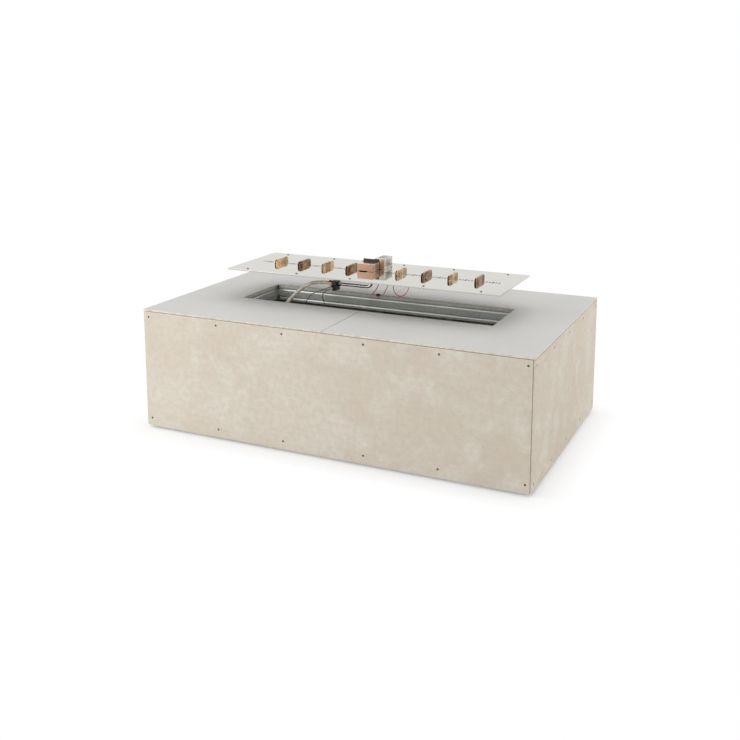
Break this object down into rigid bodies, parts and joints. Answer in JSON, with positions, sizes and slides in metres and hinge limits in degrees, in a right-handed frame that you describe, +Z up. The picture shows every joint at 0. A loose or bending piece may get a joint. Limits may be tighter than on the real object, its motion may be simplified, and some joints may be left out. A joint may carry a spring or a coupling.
{
  "type": "fire pit table",
  "caption": "Unclad gas fire pit table: cement boards on a galvanised stud frame, with a linear burner lifted out of its opening.",
  "frame": {"origin": "Middle of the footprint on the floor, under the four levelling feet.", "axes": "+X along the long side, +Y from the front to the back, +Z up."},
  "size_m": [1.524, 0.914, 0.638],
  "materials": {
    "cement_board": "matte grey and beige cement board",
    "galvanised_steel": "galvanised sheet with bright ribs",
    "zinc_plate": "zinc plated",
    "polished_stainless": "bright stainless sheet",
    "tab_brass": "bare folded brass",
    "copper_tone": "copper toned bent sheet",
    "black_enamel": "black enamel",
    "foot_plastic": "black moulded",
    "black_plastic": "black moulded",
    "hose_cover": "grey beige hose cover",
    "black_rubber": "black wire insulation",
    "red_rubber": "dull red silicone insulation",
    "ceramic_white": "glazed ceramic"
  },
  "bodies": {
    "table": {"back_bottom_track": "galvanised_steel", "back_panel": "cement_board", "back_seam_joist": "galvanised_steel", "back_top_track": "galvanised_steel", "board_screws": "zinc_plate", "clip_angles": "galvanised_steel", "control_wire_left": "black_rubber", "control_wire_right": "black_rubber", "corner_studs": "galvanised_steel", "foot_nuts": "zinc_plate", "front_bottom_track": "galvanised_steel", "front_panel": "cement_board", "front_seam_joist": "galvanised_steel", "front_top_track": "galvanised_steel", "gas_hose": "hose_cover", "gas_inlet_fitting": "tab_brass", "gas_inlet_hanger": "zinc_plate", "ignition_module": "black_plastic", "left_bottom_track": "galvanised_steel", "left_panel": "cement_board", "left_top_track": "galvanised_steel", "long_wall_studs": "galvanised_steel", "module_bracket": "zinc_plate", "opening_back_header": "galvanised_steel", "opening_front_header": "galvanised_steel", "opening_left_joist": "galvanised_steel", "opening_right_joist": "galvanised_steel", "right_bottom_track": "galvanised_steel", "right_panel": "cement_board", "right_top_track": "galvanised_steel", "short_wall_studs": "galvanised_steel", "top_board_left": "cement_board", "top_board_right": "cement_board"},
    "burner": {"burner_plate": "polished_stainless", "burner_chamber": "polished_stainless", "ignition_hood": "copper_tone", "hood_deflector": "black_enamel", "igniter_cage": "zinc_plate", "spark_electrode": "ceramic_white", "gas_valve": "black_plastic", "gas_feed_tube": "zinc_plate", "flare_nut": "copper_tone", "valve_bracket": "zinc_plate", "plate_screws": "zinc_plate", "spark_lead": "red_rubber", "return_lead": "red_rubber", "sensor_lead": "red_rubber", "lead_connector": "black_plastic", "flame_tab_1": "tab_brass", "flame_tab_2": "tab_brass", "flame_tab_3": "tab_brass", "flame_tab_4": "tab_brass", "flame_tab_5": "tab_brass", "flame_tab_6": "tab_brass", "flame_tab_7": "tab_brass", "flame_tab_8": "tab_brass"},
    "foot_front_left": {"leveling_foot_front_left": "foot_plastic"},
    "foot_front_right": {"leveling_foot_front_right": "foot_plastic"},
    "foot_back_left": {"leveling_foot_back_left": "foot_plastic"},
    "foot_back_right": {"leveling_foot_back_right": "foot_plastic"}
  },
  "joints": [
    {"name": "burner_lift", "type": "slide", "parent": "table", "child": "burner", "axis": [0, 0, 1], "range_m": [-0.1197, 0], "deforming": ["gas_hose", "control_wire_left", "control_wire_right"]},
    {"name": "level_front_left", "type": "slide", "parent": "table", "child": "foot_front_left", "axis": [0, 0, 1], "range_m": [-0.01, 0.004]},
    {"name": "level_front_right", "type": "slide", "parent": "table", "child": "foot_front_right", "axis": [0, 0, 1], "range_m": [-0.01, 0.004]},
    {"name": "level_back_left", "type": "slide", "parent": "table", "child": "foot_back_left", "axis": [0, 0, 1], "range_m": [-0.01, 0.004]},
    {"name": "level_back_right", "type": "slide", "parent": "table", "child": "foot_back_right", "axis": [0, 0, 1], "range_m": [-0.01, 0.004]}
  ]
}
